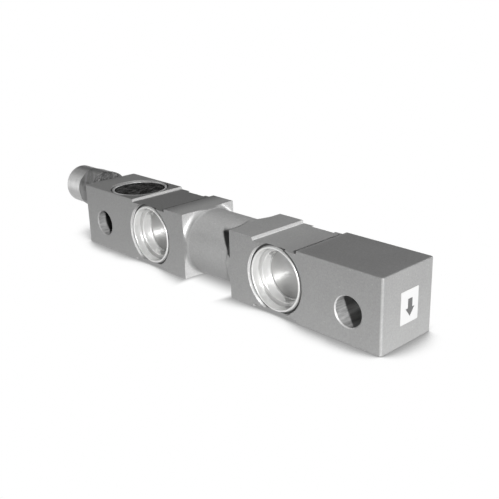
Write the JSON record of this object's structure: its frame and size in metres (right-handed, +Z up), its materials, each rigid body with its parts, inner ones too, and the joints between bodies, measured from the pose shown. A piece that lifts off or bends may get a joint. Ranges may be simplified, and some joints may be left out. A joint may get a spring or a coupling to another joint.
{
  "type": "double ended beam load cell",
  "caption": "Square steel beam load cell, pinned at both ends and loaded at its round waist, with closed gauge pockets and a cable fitting at one end.",
  "frame": {"origin": "middle of the load saddle, on the beam's axis", "axes": "+X along the beam towards the end with the arrow label, -Y the front face, +Z up"},
  "size_m": [0.2402, 0.0336, 0.0373],
  "materials": {
    "bar_steel": "fine ground stainless steel",
    "cup_steel": "polished turned stainless steel",
    "cap_steel": "dark blasted stainless steel",
    "fitting_steel": "turned stainless steel",
    "white_film": "white label film",
    "grey_print": "dark grey print",
    "gauge_film": "amber polyimide film",
    "gauge_foil": "etched constantan foil",
    "tab_laminate": "glass epoxy with tinned pads",
    "lead_insulation": "white insulated leads",
    "board_laminate": "green circuit board",
    "solder": "tinned solder",
    "chip_body": "black moulded chip",
    "header_glass": "sealing glass",
    "gold_pin": "gold plated pin",
    "seal_rubber": "black rubber"
  },
  "bodies": {
    "root": {"beam_body": "bar_steel", "board_pads": "solder", "board_posts": "fitting_steel", "conduit_adapter": "fitting_steel", "gauge_cup_front_left": "cup_steel", "gauge_cup_front_right": "cup_steel", "gauge_cup_rear_left": "cup_steel", "gauge_cup_rear_right": "cup_steel", "gauge_film_front_left": "gauge_film", "gauge_film_front_right": "gauge_film", "gauge_film_rear_left": "gauge_film", "gauge_film_rear_right": "gauge_film", "gauge_foil_front_left": "gauge_foil", "gauge_foil_front_right": "gauge_foil", "gauge_foil_rear_left": "gauge_foil", "gauge_foil_rear_right": "gauge_foil", "gauge_jumpers_front_left": "lead_insulation", "gauge_jumpers_front_right": "lead_insulation", "gauge_jumpers_rear_left": "lead_insulation", "gauge_jumpers_rear_right": "lead_insulation", "gauge_terminal_front_left": "tab_laminate", "gauge_terminal_front_right": "tab_laminate", "gauge_terminal_rear_left": "tab_laminate", "gauge_terminal_rear_right": "tab_laminate", "gland_washer": "fitting_steel", "header_glass": "header_glass", "header_leads": "lead_insulation", "header_pins": "gold_pin", "header_shell": "fitting_steel", "junction_cap": "cap_steel", "lead_bundle_front": "lead_insulation", "lead_bundle_rear": "lead_insulation", "load_arrow_label": "white_film", "load_arrow_print": "grey_print", "passage_plugs": "fitting_steel", "sealing_grommet": "seal_rubber", "terminal_board": "board_laminate", "trim_resistors": "chip_body"}
  },
  "joints": []
}
